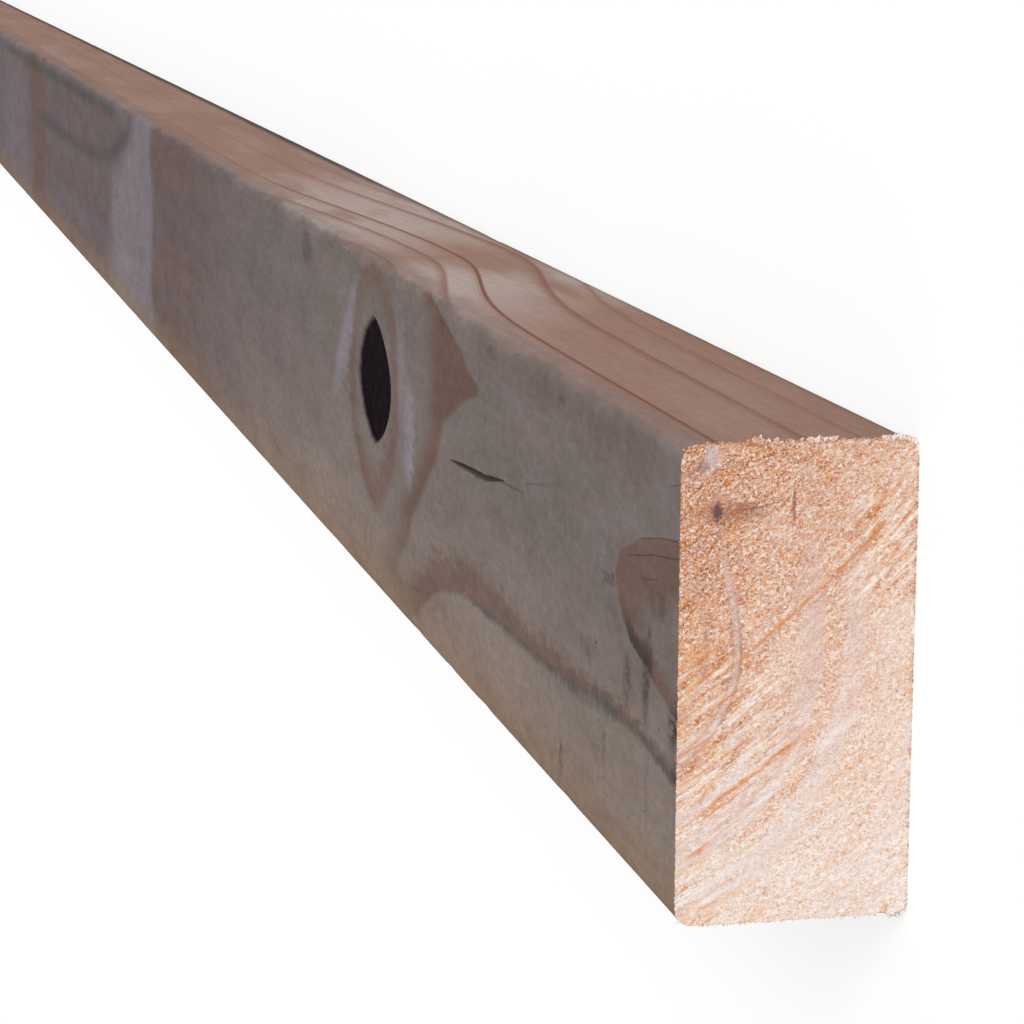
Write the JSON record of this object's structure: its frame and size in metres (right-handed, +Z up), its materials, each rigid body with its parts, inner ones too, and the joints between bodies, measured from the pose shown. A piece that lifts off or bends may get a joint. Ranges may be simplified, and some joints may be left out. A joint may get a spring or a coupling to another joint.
{
  "type": "timber plank",
  "caption": "Straight softwood framing plank with a rectangular section, eased long edges and square sawn ends, for building frames and general construction.",
  "frame": {"origin": "middle of the wide face that the plank lies on", "axes": "+X along the plank's length, +Y across its width, +Z up through its thickness"},
  "size_m": [2.4, 0.09, 0.045],
  "materials": {
    "timber": "fine-sawn, weathered grey-brown faces with pale, freshly sawn ends"
  },
  "bodies": {
    "root": {"plank": "timber"}
  },
  "joints": []
}
